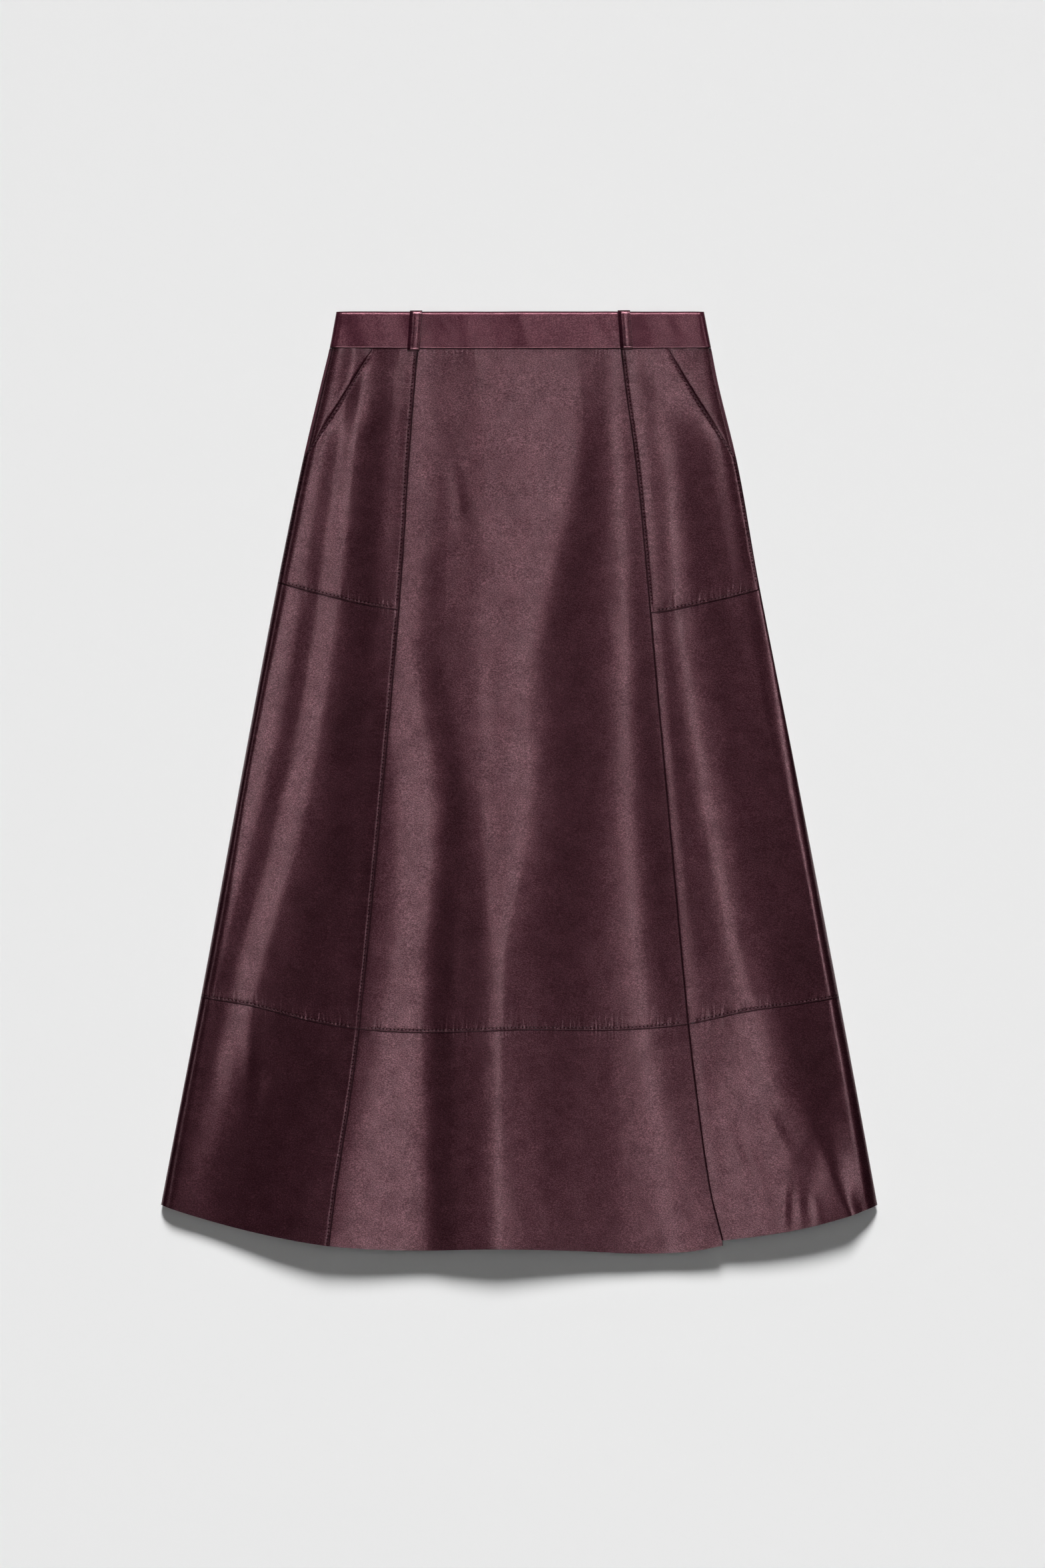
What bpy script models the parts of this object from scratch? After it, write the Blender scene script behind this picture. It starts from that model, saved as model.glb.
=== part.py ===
"""Leather A-line skirt, laid flat on a surface with its front up.

Metres, +Z up. The surface is Z = 0. The waist is towards +Y and the hem towards -Y, and
left and right are those of someone who looks down at the front, so left is -X.

A place on the skirt is given by two numbers. "across" runs from -1 at the left side seam
to 1 at the right one, over the front or over the back. "down" is the distance in metres
from the top of the waistband, measured down the middle of the front.
"""

import math
from collections import namedtuple

import bmesh
import bpy

# ---------------------------------------------------------------- driving dimensions

LENGTH = 0.8715          # waistband top to hem, down the middle
WAIST_Y = 0.43615        # waistband top, so that the skirt is centred on the origin
BAND_HEIGHT = 0.0345     # waistband
POCKET_END = 0.1390      # where the pocket mouths meet the side seams
POCKET_START = 0.775     # across, where the pocket mouths leave the waistband
HIP_LEVEL = 0.2700       # where the hip panels end
HEM_SEAM = 0.6670        # where the hem band starts
SIDE_RISE = 0.0418       # the hem's corners lie this much nearer the waist than its middle
RISE_POWER = 2.6         # how late across the front the hem turns up
RISE_GROWTH = 1.2        # how fast that rise grows from waist to hem

LEATHER = 0.0013         # one layer of leather
BAND_LEATHER = 0.0024    # the waistband is folded leather
SEAM_GAP = 0.0003        # between pieces that are sewn edge to edge
BAND_TOP = 0.0066        # outer face of the waistband's front
SEAM_Z_WAIST = 0.0026    # height of the side seams
SEAM_Z_HEM = 0.0060
SEAM_Z_LEVEL = 0.5000    # down, where the side seams have reached that height

FRONT_ROLL_WAIST = 0.007    # how far from the side seams the front starts to round down
FRONT_ROLL_HEM = 0.024
BACK_ROLL_WAIST = 0.004     # and the back to round up
BACK_ROLL_HEM = 0.007
ROLL_COLUMNS = 0.18         # share of the mesh columns spent on the round edge
ROLL_REACH = 0.107          # share of the half width that those columns cover

MOUTH_LIFT = 0.0022         # how far the pocket mouths stand open
MOUTH_REACH = 0.026         # how far in from the mouth the hip panel is lifted
BEARER_DEPTH = 0.032        # how far the pocket bearers run in under the hip panels
BEARER_GAP = 0.0009         # between a hip panel and the bearer under it

LOOP_WIDTH = 0.0104
LOOP_LEATHER = 0.0018
LOOP_ROOM = 0.0052          # clear height under a belt loop
LOOP_SQUARENESS = 3.0       # power of its rounded arch
LOOP_COLUMNS = 14

BURGUNDY = (0.085, 0.018, 0.030, 1.0)
INNER_BURGUNDY = (0.055, 0.012, 0.020, 1.0)

# Half widths, as rows down the skirt.
Station = namedtuple("Station", "down left right")
OUTLINE = (
    Station(0.0000, 0.1699, 0.1718),
    Station(0.0345, 0.1762, 0.1784),
    Station(0.0700, 0.1845, 0.1852),
    Station(0.1500, 0.2025, 0.2036),
    Station(0.2600, 0.2240, 0.2222),
    Station(0.4400, 0.2561, 0.2558),
    Station(0.6670, 0.2955, 0.2970),
    Station(0.8715, 0.3329, 0.3329),
)

# The two long seams beside the centre front panel, as places across.
LongSeam = namedtuple("LongSeam", "down left right")
LONG_SEAMS = (
    LongSeam(0.0345, -0.535, 0.531),
    LongSeam(0.1400, -0.512, 0.537),
    LongSeam(0.2450, -0.493, 0.539),
    LongSeam(0.3800, -0.490, 0.532),
    LongSeam(0.6320, -0.498, 0.526),
    LongSeam(0.7100, -0.504, 0.529),
    LongSeam(0.8200, -0.524, 0.544),
    LongSeam(0.8740, -0.528, 0.567),
)

# The hip seams and the hem band's seam dip and rise a little across the front.
CrossSeam = namedtuple("CrossSeam", "across down")
HIP_SEAM = (
    CrossSeam(-1.00, 0.2616),
    CrossSeam(-0.80, 0.2695),
    CrossSeam(-0.49, 0.2790),
    CrossSeam(0.54, 0.2821),
    CrossSeam(0.81, 0.2749),
    CrossSeam(1.00, 0.2683),
)
HEM_BAND_SEAM = (
    CrossSeam(-1.00, 0.6664),
    CrossSeam(-0.85, 0.6636),
    CrossSeam(-0.60, 0.6694),
    CrossSeam(-0.35, 0.6704),
    CrossSeam(0.00, 0.6660),
    CrossSeam(0.35, 0.6682),
    CrossSeam(0.53, 0.6664),
    CrossSeam(0.72, 0.6612),
    CrossSeam(1.00, 0.6664),
)

# The hem's own edge. The right band is cut a little shorter than the centre one.
HEM_CENTRE = (
    CrossSeam(-0.53, 0.8742),
    CrossSeam(-0.30, 0.8725),
    CrossSeam(-0.08, 0.8690),
    CrossSeam(0.15, 0.8711),
    CrossSeam(0.33, 0.8762),
    CrossSeam(0.47, 0.8780),
    CrossSeam(0.57, 0.8756),
)
HEM_LEFT = (
    CrossSeam(-1.00, 0.8708),
    CrossSeam(-0.80, 0.8724),
    CrossSeam(-0.53, 0.8742),
)
HEM_RIGHT = (
    CrossSeam(0.57, 0.8708),
    CrossSeam(0.80, 0.8726),
    CrossSeam(1.00, 0.8712),
)

# The folds of the front: ridges and dips that run down it, from left to right. Each has a
# place across and a height of the outer face above the surface, at five levels down.
LEVELS = (0.0345, 0.135, 0.310, 0.612, 0.8715)     # waist seam, pocket, hip, low, hem
FoldLine = namedtuple("FoldLine", "name across high")
FOLD_LINES = (
    FoldLine("left edge", (-1.00, -1.00, -1.00, -1.00, -1.00),
             (0.0062, 0.0074, 0.0095, 0.0120, 0.0110)),
    FoldLine("left ridge", (-0.90, -0.885, -0.84, -0.93, -0.97),
             (0.0062, 0.0082, 0.0102, 0.0122, 0.0115)),
    FoldLine("left dip", (-0.78, -0.76, -0.73, -0.775, -0.88),
             (0.0060, 0.0068, 0.0080, 0.0106, 0.0105)),
    FoldLine("seam ridge", (-0.60, -0.59, -0.45, -0.42, -0.47),
             (0.0056, 0.0083, 0.0115, 0.0170, 0.0185)),
    FoldLine("seam dip", (-0.40, -0.35, -0.33, -0.32, -0.29),
             (0.0050, 0.0073, 0.0095, 0.0148, 0.0155)),
    FoldLine("centre left", (-0.22, -0.15, -0.13, -0.07, -0.06),
             (0.0052, 0.0090, 0.0135, 0.0200, 0.0195)),
    FoldLine("centre right", (0.15, 0.127, 0.05, -0.005, -0.01),
             (0.0052, 0.0090, 0.0135, 0.0200, 0.0195)),
    FoldLine("right dip", (0.48, 0.46, 0.39, 0.345, 0.34),
             (0.0050, 0.0052, 0.0058, 0.0102, 0.0108)),
    FoldLine("right step", (0.54, 0.52, 0.46, 0.415, 0.42),
             (0.0050, 0.0055, 0.0064, 0.0108, 0.0116)),
    FoldLine("right rise", (0.68, 0.67, 0.645, 0.62, 0.59),
             (0.0058, 0.0078, 0.0120, 0.0180, 0.0180)),
    FoldLine("right ridge", (0.75, 0.74, 0.70, 0.765, 0.94),
             (0.0060, 0.0082, 0.0124, 0.0188, 0.0215)),
    FoldLine("right shoulder", (0.90, 0.87, 0.89, 0.93, 0.975),
             (0.0062, 0.0074, 0.0095, 0.0143, 0.0175)),
    FoldLine("right edge", (1.00, 1.00, 1.00, 1.00, 1.00),
             (0.0062, 0.0072, 0.0085, 0.0120, 0.0140)),
)


# ---------------------------------------------------------------- reading the tables

def curve(places, values, at, level_turns=False):
    """The value at a place between the given ones, on a smooth curve through them.

    With level_turns, the curve is level where it turns from rising to falling or back.
    """
    last = len(places) - 1
    at = min(max(at, places[0]), places[last])
    low = 0
    while low < last - 1 and places[low + 1] < at:
        low += 1

    def slope(i):
        before = max(i - 1, 0)
        after = min(i + 1, last)
        turns = (values[i] - values[before]) * (values[after] - values[i]) <= 0
        if level_turns and 0 < i < last and turns:
            return 0.0
        return (values[after] - values[before]) / (places[after] - places[before])

    span = places[low + 1] - places[low]
    part = (at - places[low]) / span
    rest = 1 - part
    return (values[low] * (1 + 2 * part) * rest ** 2
            + slope(low) * span * part * rest ** 2
            + values[low + 1] * part ** 2 * (1 + 2 * rest)
            - slope(low + 1) * span * part ** 2 * rest)


def read(rows, key, column, at):
    """A column's value between the rows of a table."""
    return curve([getattr(row, key) for row in rows], [getattr(row, column) for row in rows], at)


def mix(start, end, part):
    return start + (end - start) * part


def ease(part):
    """A smooth step from 0 to 1."""
    part = min(max(part, 0.0), 1.0)
    return part * part * (3 - 2 * part)


# ---------------------------------------------------------------- the skirt's surface

def half_width(across, down):
    side = "left" if across < 0 else "right"
    return read(OUTLINE, "down", side, down)


def plan(across, down, inset=0.0):
    """X and Y of a place. An inset draws the side seams in by that much."""
    x = across * (half_width(across, down) - inset)
    rise = SIDE_RISE * (max(down, 0.0) / LENGTH) ** RISE_GROWTH * abs(across) ** RISE_POWER
    return x, WAIST_Y - down + rise


def round_edge(across, down, waist_roll, hem_roll):
    """1 over the middle, falling to 0 at the side seams as a quarter of an ellipse."""
    reach = mix(waist_roll, hem_roll, min(down / HIP_LEVEL, 1.0)) / half_width(across, down)
    past = min(max((abs(across) - (1 - reach)) / reach, 0.0), 1.0)
    return math.sqrt(1 - past * past)


def column_place(column):
    """Place across for a mesh column from -1 to 1, closer together on the round edge."""
    straight = 1 - ROLL_COLUMNS
    if abs(column) <= straight:
        return column / straight * (1 - ROLL_REACH)
    turn = (abs(column) - straight) / ROLL_COLUMNS * math.pi / 2
    return math.copysign(1 - ROLL_REACH * (1 - math.sin(turn)), column)


def place_column(across):
    """Mesh column for a place across: the reverse of column_place."""
    straight = 1 - ROLL_COLUMNS
    if abs(across) <= 1 - ROLL_REACH:
        return across * straight / (1 - ROLL_REACH)
    turn = math.asin(min(1 - (1 - abs(across)) / ROLL_REACH, 1.0))
    return math.copysign(straight + ROLL_COLUMNS * turn / (math.pi / 2), across)


def seam_height(down):
    """Height of the side seams above the surface."""
    return mix(SEAM_Z_WAIST, SEAM_Z_HEM, ease(down / SEAM_Z_LEVEL))


def front_level(across, down):
    """Outer face of the front before it rounds down to the side seams."""
    places = [curve(LEVELS, line.across, down) for line in FOLD_LINES]
    heights = [curve(LEVELS, line.high, down) for line in FOLD_LINES]
    return curve(places, heights, across, level_turns=True)


def front_point(across, down, under=0.0, lift=0.0):
    """A point of the front, "under" its outer face, and lifted off its place."""
    x, y = plan(across, down, inset=under)
    seam = seam_height(down) + SEAM_GAP / 2
    level = front_level(across, down) + lift - under
    edge = round_edge(across, down, FRONT_ROLL_WAIST, FRONT_ROLL_HEM)
    return x, y, seam + edge * (level - seam)


def back_point(across, down, over=0.0):
    """A point of the back, "over" its outer face, which lies on the surface."""
    x, y = plan(across, down, inset=over)
    seam = seam_height(down) - SEAM_GAP / 2
    edge = round_edge(across, down, BACK_ROLL_WAIST, BACK_ROLL_HEM)
    return x, y, seam - edge * (seam - over)


# ---------------------------------------------------------------- making solids

def leather(name, colour, roughness):
    material = bpy.data.materials.new(name)
    material.use_nodes = True
    shader = material.node_tree.nodes["Principled BSDF"]
    shader.inputs["Base Color"].default_value = colour
    shader.inputs["Roughness"].default_value = roughness
    shader.inputs["Metallic"].default_value = 0.0
    return material


def finish(name, mesh_data, material):
    bmesh.ops.recalc_face_normals(mesh_data, faces=mesh_data.faces[:])
    mesh = bpy.data.meshes.new(name)
    mesh_data.to_mesh(mesh)
    mesh_data.free()
    mesh.shade_smooth()
    mesh.set_sharp_from_angle(angle=math.radians(40))
    mesh.materials.append(material)
    thing = bpy.data.objects.new(name, mesh)
    bpy.context.scene.collection.objects.link(thing)
    return thing


def sheet(name, columns, rows, place, material):
    """A wall of leather. place(u, v, outer) gives its points, with u and v from 0 to 1."""
    data = bmesh.new()
    bmesh.ops.create_grid(data, x_segments=columns, y_segments=rows, size=0.5)
    inner = data.verts[:]
    spots = [(vert.co.x + 0.5, 0.5 - vert.co.y) for vert in inner]
    grown = bmesh.ops.extrude_face_region(data, geom=data.faces[:])
    outer = [item for item in grown["geom"] if isinstance(item, bmesh.types.BMVert)]
    outer_spots = [(vert.co.x + 0.5, 0.5 - vert.co.y) for vert in outer]
    for vert, (u, v) in zip(inner, spots):
        vert.co = place(u, v, False)
    for vert, (u, v) in zip(outer, outer_spots):
        vert.co = place(u, v, True)
    return finish(name, data, material)


def patch(left, right, top, bottom, surface):
    """place() for a panel between four seams, half a gap in from each.

    left and right give places across for a distance down, top and bottom the reverse.
    """
    def place(u, v, outer):
        down = 0.5 * (top(0.0) + bottom(0.0))
        across = 0.0
        for _ in range(8):
            half_gap = 0.5 * SEAM_GAP / half_width(across, down)
            start = left(down)
            end = right(down)
            start = start + half_gap if start > -1 else start
            end = end - half_gap if end < 1 else end
            across = column_place(mix(place_column(start), place_column(end), u))
            down = mix(top(across) + SEAM_GAP / 2, bottom(across) - SEAM_GAP / 2, v)
        return surface(across, down, outer)
    return place


def always(value):
    return lambda _: value


def long_seam(side):
    return lambda down: read(LONG_SEAMS, "down", side, down)


def cross_seam(rows):
    return lambda across: read(rows, "across", "down", across)


def front_face(across, down, outer):
    return front_point(across, down, under=0.0 if outer else LEATHER)


def back_face(across, down, outer):
    return back_point(across, down, over=0.0 if outer else LEATHER)


# ---------------------------------------------------------------- waistband

def band_front_face(across, down, outer):
    """The waistband stands a little proud of the panels, with a soft upper edge."""
    under = 0.0 if outer else BAND_LEATHER
    x, y = plan(across, down, inset=under)
    seam = seam_height(0.0) + SEAM_GAP / 2
    edge = round_edge(across, down, FRONT_ROLL_WAIST, FRONT_ROLL_WAIST)
    return x, y, seam + edge * (BAND_TOP - under - seam)


def band_back_face(across, down, outer):
    over = 0.0 if outer else BAND_LEATHER
    x, y = plan(across, down, inset=over)
    seam = seam_height(0.0) - SEAM_GAP / 2
    edge = round_edge(across, down, BACK_ROLL_WAIST, BACK_ROLL_WAIST)
    return x, y, seam - edge * (seam - over)


def add_waistband(material):
    top = always(-SEAM_GAP / 2)
    bottom = always(BAND_HEIGHT)
    sheet("waistband_front", 26, 3,
          patch(always(-1.0), always(1.0), top, bottom, band_front_face), material)
    sheet("waistband_back_left", 12, 3,
          patch(always(-1.0), always(0.0), top, bottom, band_back_face), material)
    sheet("waistband_back_right", 12, 3,
          patch(always(0.0), always(1.0), top, bottom, band_back_face), material)


# ---------------------------------------------------------------- front panels

def add_front(material):
    sheet("front_centre_panel", 22, 22,
          patch(long_seam("left"), long_seam("right"),
                always(BAND_HEIGHT), cross_seam(HEM_BAND_SEAM), front_face), material)
    sheet("side_front_panel_left", 13, 14,
          patch(always(-1.0), long_seam("left"),
                cross_seam(HIP_SEAM), cross_seam(HEM_BAND_SEAM), front_face), material)
    sheet("side_front_panel_right", 13, 14,
          patch(long_seam("right"), always(1.0),
                cross_seam(HIP_SEAM), cross_seam(HEM_BAND_SEAM), front_face), material)


# ---------------------------------------------------------------- hip panels and pockets

def mouth(down):
    """Place across of the slanting pocket mouth, and the side seam below it."""
    part = (down - BAND_HEIGHT) / (POCKET_END - BAND_HEIGHT)
    return mix(POCKET_START, 1.0, min(max(part, 0.0), 1.0))


def mouth_gape(across, down):
    """How far the hip panel is lifted near the pocket mouth, most in its upper half."""
    part = (down - BAND_HEIGHT) / (POCKET_END - BAND_HEIGHT)
    if not 0.0 < part < 1.0:
        return 0.0
    along = math.sin(math.pi * part ** 0.8) ** 2
    away = (mouth(down) - abs(across)) * half_width(across, down) / MOUTH_REACH
    return MOUTH_LIFT * along * math.exp(-away * away)


def hip_face(across, down, outer):
    under = 0.0 if outer else LEATHER
    return front_point(across, down, under=under, lift=mouth_gape(across, down))


def bearer_face(across, down, outer):
    """The bearer lies under the hip panel, a gap below its inner face."""
    under = LEATHER + BEARER_GAP
    return front_point(across, down, under=under if outer else under + LEATHER)


def add_hips(material, inner_material):
    for side, sign in (("left", -1), ("right", 1)):
        seam = long_seam(side)

        def outer_edge(down, sign=sign):
            return sign * mouth(down)

        def bearer_edge(down, sign=sign):
            run_in = BEARER_DEPTH / half_width(sign, down)
            return sign * (mouth(down) - run_in)

        edges = (outer_edge, seam) if side == "left" else (seam, outer_edge)
        sheet("hip_panel_" + side, 12, 14,
              patch(*edges, always(BAND_HEIGHT), cross_seam(HIP_SEAM), hip_face), material)
        edges = (always(-1.0), bearer_edge) if side == "left" else (bearer_edge, always(1.0))
        sheet("pocket_bearer_" + side, 9, 8,
              patch(*edges, always(BAND_HEIGHT), always(POCKET_END + 0.02), bearer_face),
              inner_material)


# ---------------------------------------------------------------- hem band

def add_hem_band(material):
    seam = cross_seam(HEM_BAND_SEAM)
    sheet("hem_band_front_left", 13, 6,
          patch(always(-1.0), long_seam("left"), seam, cross_seam(HEM_LEFT), front_face),
          material)
    sheet("hem_band_front_centre", 22, 6,
          patch(long_seam("left"), long_seam("right"), seam, cross_seam(HEM_CENTRE),
                front_face), material)
    sheet("hem_band_front_right", 13, 6,
          patch(long_seam("right"), always(1.0), seam, cross_seam(HEM_RIGHT), front_face),
          material)


# ---------------------------------------------------------------- back

def add_back(material):
    """Two long panels with a closed centre seam, over the two halves of the hem band."""
    for side, start, end in (("left", -1.0, 0.0), ("right", 0.0, 1.0)):
        sheet("back_panel_" + side, 12, 14,
              patch(always(start), always(end), always(BAND_HEIGHT), always(HEM_SEAM),
                    back_face), material)
        sheet("hem_band_back_" + side, 12, 5,
              patch(always(start), always(end), always(HEM_SEAM), always(LENGTH),
                    back_face), material)


# ---------------------------------------------------------------- belt loops

Loop = namedtuple("Loop", "side top_x bottom_x top_y bottom_y")
LOOPS = (
    Loop("left", -0.0950, -0.0976, 0.0010, -0.0368),
    Loop("right", 0.0975, 0.1001, 0.0014, -0.0352),
)


def add_belt_loops(material):
    """Each loop is a bowed strip that stands on the waistband on its two ends."""
    for loop in LOOPS:
        def place(u, v, outer, loop=loop):
            grow = 0.0 if outer else LOOP_LEATHER
            top = loop.top_y - grow
            bottom = loop.bottom_y + grow
            turn = math.pi * v
            along = 0.5 - 0.5 * math.copysign(abs(math.cos(turn)) ** (2 / LOOP_SQUARENESS),
                                              math.cos(turn))
            arch = abs(math.sin(turn)) ** (2 / LOOP_SQUARENESS)
            y = mix(top, bottom, along)
            lean = (loop.top_y - y) / (loop.top_y - loop.bottom_y)
            x = mix(loop.top_x, loop.bottom_x, lean) + (u - 0.5) * LOOP_WIDTH
            z = BAND_TOP + SEAM_GAP + arch * (LOOP_ROOM + LOOP_LEATHER - grow)
            return x, WAIST_Y + y, z

        sheet("belt_loop_" + loop.side, 2, LOOP_COLUMNS, place, material)


# ---------------------------------------------------------------- the whole skirt

for old in list(bpy.data.objects):
    bpy.data.objects.remove(old, do_unlink=True)

skin = leather("burgundy leather", BURGUNDY, 0.42)
pocket_skin = leather("pocket leather", INNER_BURGUNDY, 0.5)
add_waistband(skin)
add_front(skin)
add_hips(skin, pocket_skin)
add_hem_band(skin)
add_back(skin)
add_belt_loops(skin)
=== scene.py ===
"""Burgundy leather skirt, laid flat on a pale surface with its front up.

Metres, +Z up, the waist towards +Y. A place on the skirt is given by "across", from -1 at
the left side seam to 1 at the right one, and by "down", metres from the waistband's top.
"""

import math
from collections import namedtuple

import bmesh
import bpy
import numpy as np
from mathutils import Matrix, Vector


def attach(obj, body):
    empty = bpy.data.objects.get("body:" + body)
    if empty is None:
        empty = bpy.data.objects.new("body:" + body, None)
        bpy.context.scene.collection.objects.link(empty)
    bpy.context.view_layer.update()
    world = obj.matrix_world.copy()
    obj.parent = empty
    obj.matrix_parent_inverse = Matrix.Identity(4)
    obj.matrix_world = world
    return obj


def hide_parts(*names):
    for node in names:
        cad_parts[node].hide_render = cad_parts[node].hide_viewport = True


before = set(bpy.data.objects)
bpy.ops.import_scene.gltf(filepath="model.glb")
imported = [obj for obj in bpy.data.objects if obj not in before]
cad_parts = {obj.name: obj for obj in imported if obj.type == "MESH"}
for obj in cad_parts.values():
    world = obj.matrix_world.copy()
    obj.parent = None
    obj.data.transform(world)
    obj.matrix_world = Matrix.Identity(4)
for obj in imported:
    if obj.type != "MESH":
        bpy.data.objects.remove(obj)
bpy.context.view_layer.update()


# ---------------------------------------------------------------- back panels
# Two long panels of garment leather, about 1.2 mm thick, with a plain closed seam down the
# middle of the back. They lie on the surface and carry the front. Their pattern's outline,
# the leather and the way in which a panel is cut are used for all the other pieces too.

waist_y = 0.43615
skirt_length = 0.8715
band_height = 0.0345
hip_level = 0.27
hem_band_top = 0.667
side_rise = 0.0418
rise_power = 2.6
rise_growth = 1.2
leather_thickness = 0.0012
seam_gap = 0.0003

Station = namedtuple("Station", "down left right")
outline = (
    Station(0.0000, 0.1699, 0.1718),
    Station(0.0345, 0.1762, 0.1784),
    Station(0.0700, 0.1845, 0.1852),
    Station(0.1500, 0.2025, 0.2036),
    Station(0.2600, 0.2240, 0.2222),
    Station(0.4400, 0.2561, 0.2558),
    Station(0.6670, 0.2955, 0.2970),
    Station(0.8715, 0.3329, 0.3329),
)


def through(places, values, at, level_turns=False):
    """A smooth curve through values at places, read at an array of places."""
    last = len(places) - 1
    at = np.clip(at, places[0], places[last])
    slopes = []
    for i in range(last + 1):
        before, after = max(i - 1, 0), min(i + 1, last)
        slope = (values[after] - values[before]) / (places[after] - places[before])
        if level_turns and 0 < i < last:
            turns = (values[i] - values[before]) * (values[after] - values[i]) <= 0
            slope = np.where(turns, 0.0, slope)
        slopes.append(slope)
    result = np.zeros_like(at) + values[0]
    for i in range(last):
        span = places[i + 1] - places[i]
        part = (at - places[i]) / span
        rest = 1 - part
        piece = (values[i] * (1 + 2 * part) * rest ** 2 + slopes[i] * span * part * rest ** 2
                 + values[i + 1] * part ** 2 * (1 + 2 * rest)
                 - slopes[i + 1] * span * part ** 2 * rest)
        result = np.where(at > places[i], piece, result)
    return result


def column(rows, key, name, at):
    return through([getattr(row, key) for row in rows], [getattr(row, name) for row in rows], at)


def half_width(across, down):
    return np.where(across < 0, column(outline, "down", "left", down),
                    column(outline, "down", "right", down))


def plan(across, down, inset=0.0):
    x = across * (half_width(across, down) - inset)
    rise = side_rise * (np.maximum(down, 0) / skirt_length) ** rise_growth
    return x, waist_y - down + rise * np.abs(across) ** rise_power


side_seam_waist = 0.0026     # the side seams' height at the waist
side_seam_climb = 0.0034     # what they rise by from there to mid-length
side_seam_drop = 0.0026      # what they sink by again at the hem


def side_seam_height(down):
    part = np.clip(down / 0.5, 0, 1)
    near_hem = np.clip((down - 0.72) / 0.15, 0, 1) ** 2
    return (side_seam_waist + side_seam_climb * part * part * (3 - 2 * part)
            - side_seam_drop * near_hem)


# Distances from an edge of the lines of mesh beside it: metres, and shares of the round edge.
sewn_steps = np.array(((0.0, 0.00008, 0.0002, 0.0005, 0.0010, 0.0016, 0.0021, 0.0026, 0.0034,
                        0.0048, 0.0068), (0.0,) * 11))
turn = np.linspace(0, math.pi / 2, 12)
side_steps = np.array((0 * turn, 1 - np.cos(turn)))
plain_steps = np.zeros((2, 1))


waist_roll = 0.007           # width of the front's round edge at the waist
hip_roll = 0.015             # what it gains down to the hip
lower_roll = 0.011           # what it loses below the hip
back_waist_roll = 0.004
back_hip_roll = 0.003


def front_roll(down):
    part = np.clip((down - 0.30) / 0.25, 0, 1)
    return (waist_roll + hip_roll * np.clip(down / hip_level, 0, 1)
            - lower_roll * part * part * (3 - 2 * part))


def back_roll(down):
    return back_waist_roll + back_hip_roll * np.clip(down / hip_level, 0, 1)


def past_roll(places, roll):
    """How far places are into the round edge: 0 where it starts, 1 at the side seam."""
    reach = roll / half_width(places.across, places.down)
    return np.clip((np.abs(places.across) - (1 - reach)) / reach, 0, 1)


Edge = namedtuple("Edge", "place steps kind")


def spaced(start, end, middle):
    first, last = start.shape[1], end.shape[1]
    index = np.arange(first + middle - 1 + last)
    from_start = start[:, np.minimum(index, first - 1)]
    from_end = end[:, np.minimum(index[::-1], last - 1)]
    return from_start, from_end, np.clip((index - first + 1) / middle, 0, 1)


Cut = namedtuple("Cut", "across down left right top bottom")


def cut(left, right, top, bottom, columns, rows, roll):
    """Places for a panel's grid, and how far each of them is from the panel's four edges."""
    start, end, share = spaced(left.steps, right.steps, columns)
    upper, lower, deep = spaced(top.steps, bottom.steps, rows)
    upper, lower, deep = (part[..., None] for part in (upper, lower, deep))
    down = np.zeros((deep.shape[0], share.shape[0])) + 0.4
    across = 0 * down
    gap = [0.0 if edge.kind == "side" else seam_gap / 2 for edge in (left, right)]
    for _ in range(9):
        lefts, rights = left.place(down), right.place(down)
        x_left = lefts * half_width(lefts, down) + gap[0]
        x_right = rights * half_width(rights, down) - gap[1]
        x = ((x_left + start[0] + start[1] * roll(down)) * (1 - share)
             + (x_right - end[0] - end[1] * roll(down)) * share)
        across = x / half_width(x, down)
        above = top.place(across) + seam_gap / 2
        below = bottom.place(across) - seam_gap / 2
        down = (above + upper[0]) * (1 - deep) + (below - lower[0]) * deep
    return Cut(across, down, x - x_left, x_right - x, down - above, below - down)


def put_in_scene(name, data):
    thing = bpy.data.objects.new(name, data)
    bpy.context.scene.collection.objects.link(thing)
    return thing


def mesh_from(name, data):
    mesh = bpy.data.meshes.new(name)
    data.to_mesh(mesh)
    data.free()
    return mesh


def shell(name, outer, inner, materials, seams):
    """A wall of leather between two grids of points, with its own suede side and cut edges."""
    rows, columns = outer[0].shape
    data = bmesh.new()
    bmesh.ops.create_grid(data, x_segments=columns - 1, y_segments=rows - 1, size=0.5)
    bmesh.ops.extrude_face_region(data, geom=data.faces[:])
    data.verts.index_update()
    count = rows * columns
    for vert in data.verts:
        i = round((vert.co.x + 0.5) * (columns - 1))
        j = round((0.5 - vert.co.y) * (rows - 1))
        side = inner if vert.index < count else outer
        vert.co = (side[0][j, i], side[1][j, i], side[2][j, i])
        vert.index = j * columns + i + (0 if side is outer else count)
    spots = [vert.index for vert in data.verts]
    for face in data.faces:
        face.material_index = 0 if all(vert.index < count for vert in face.verts) else 1
    bmesh.ops.recalc_face_normals(data, faces=data.faces[:])
    mesh = mesh_from(name, data)
    mesh.shade_smooth()
    mesh.set_sharp_from_angle(angle=math.radians(50))
    for material in materials:
        mesh.materials.append(material)
    near = np.zeros((2 * count, 3))
    near[:, 0] = 1.0
    near[:count] = np.stack(seams, axis=-1).reshape(-1, 3)
    layer = mesh.attributes.new("seam", "FLOAT_VECTOR", "POINT")
    layer.data.foreach_set("vector", near[spots].ravel())
    return put_in_scene(name, mesh)


def new_finish(name):
    """A new material, with its node tree and its shader."""
    material = bpy.data.materials.new(name)
    material.use_nodes = True
    return material, material.node_tree, material.node_tree.nodes["Principled BSDF"]


def add_node(tree, kind, **settings):
    node = tree.nodes.new(kind)
    for key, value in settings.items():
        setattr(node, key, value)
    return node


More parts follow.
